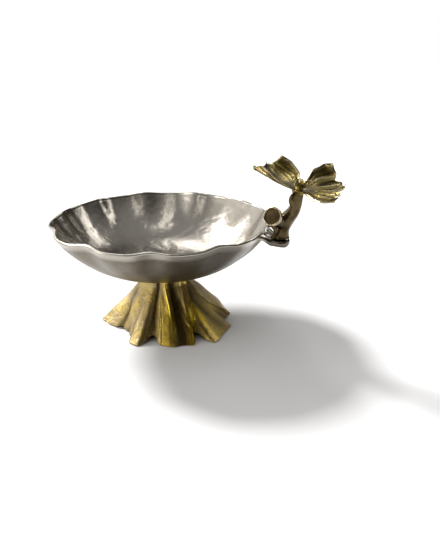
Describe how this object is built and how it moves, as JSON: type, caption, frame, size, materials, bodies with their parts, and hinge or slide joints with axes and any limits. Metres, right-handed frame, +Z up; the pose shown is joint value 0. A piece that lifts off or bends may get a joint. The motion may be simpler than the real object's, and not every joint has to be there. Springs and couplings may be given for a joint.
{
  "type": "footed bowl",
  "caption": "Shallow cast-metal bowl with a wavy rim on a draped-leaf foot, with a branch and flower standing on a lug of the rim",
  "frame": {"origin": "middle of the foot, on the plane it stands on", "axes": "+Z up along the bowl's axis, +X through the lug and the branch, +Y to its left"},
  "size_m": [0.3033, 0.2224, 0.1808],
  "materials": {
    "bowl": "polished nickel plate over a slightly grainy casting",
    "foot": "satin gold plate over fine cast grain, ridges polished",
    "branch": "polished antique brass",
    "flower": "polished antique brass",
    "fasteners": "plain steel"
  },
  "bodies": {
    "root": {"bowl": "bowl", "foot": "foot", "branch": "branch", "calyx": "flower", "petal_back_left": "flower", "petal_left": "flower", "petal_back_right": "flower", "petal_front_right": "flower", "stamen_dome": "flower", "stamens": "flower", "flower_screw": "fasteners", "branch_screw": "fasteners", "branch_pin": "fasteners", "foot_screw": "fasteners", "foot_washer": "fasteners", "foot_spring_washer": "fasteners"}
  },
  "joints": []
}
